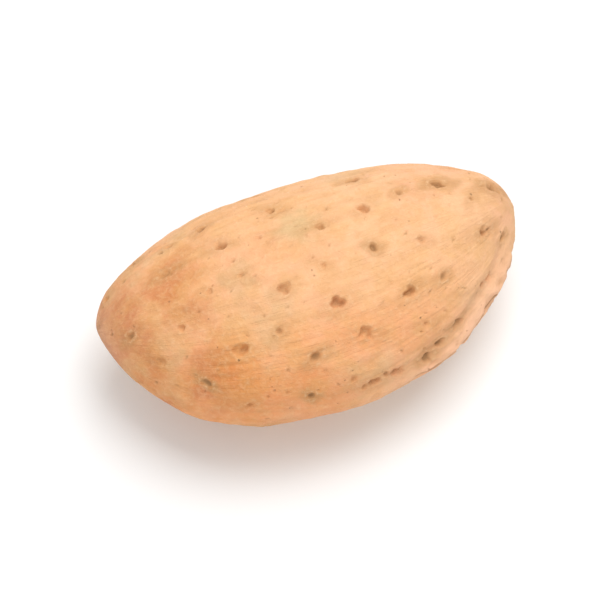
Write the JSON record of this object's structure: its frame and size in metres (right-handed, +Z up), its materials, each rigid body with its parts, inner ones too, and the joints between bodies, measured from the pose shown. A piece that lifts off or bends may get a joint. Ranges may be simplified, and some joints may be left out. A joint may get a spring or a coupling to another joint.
{
  "type": "almond in shell",
  "caption": "Whole almond in its dry pitted shell, pointed at one end, with a keeled seam and a stem scar, lying on its broad side.",
  "frame": {"origin": "the lowest point of the almond's underside, on the small flat spot that it rests on", "axes": "+X along the almond from its tip to its stem end, -Y towards the keeled belly seam and +Y towards the back seam, +Z up, square to the two broad sides"},
  "size_m": [0.0359, 0.0205, 0.0143],
  "materials": {
    "shell": "matt, dry and powdery woody shell, pale tan with browner pits"
  },
  "bodies": {
    "root": {"almond": "shell"}
  },
  "joints": []
}
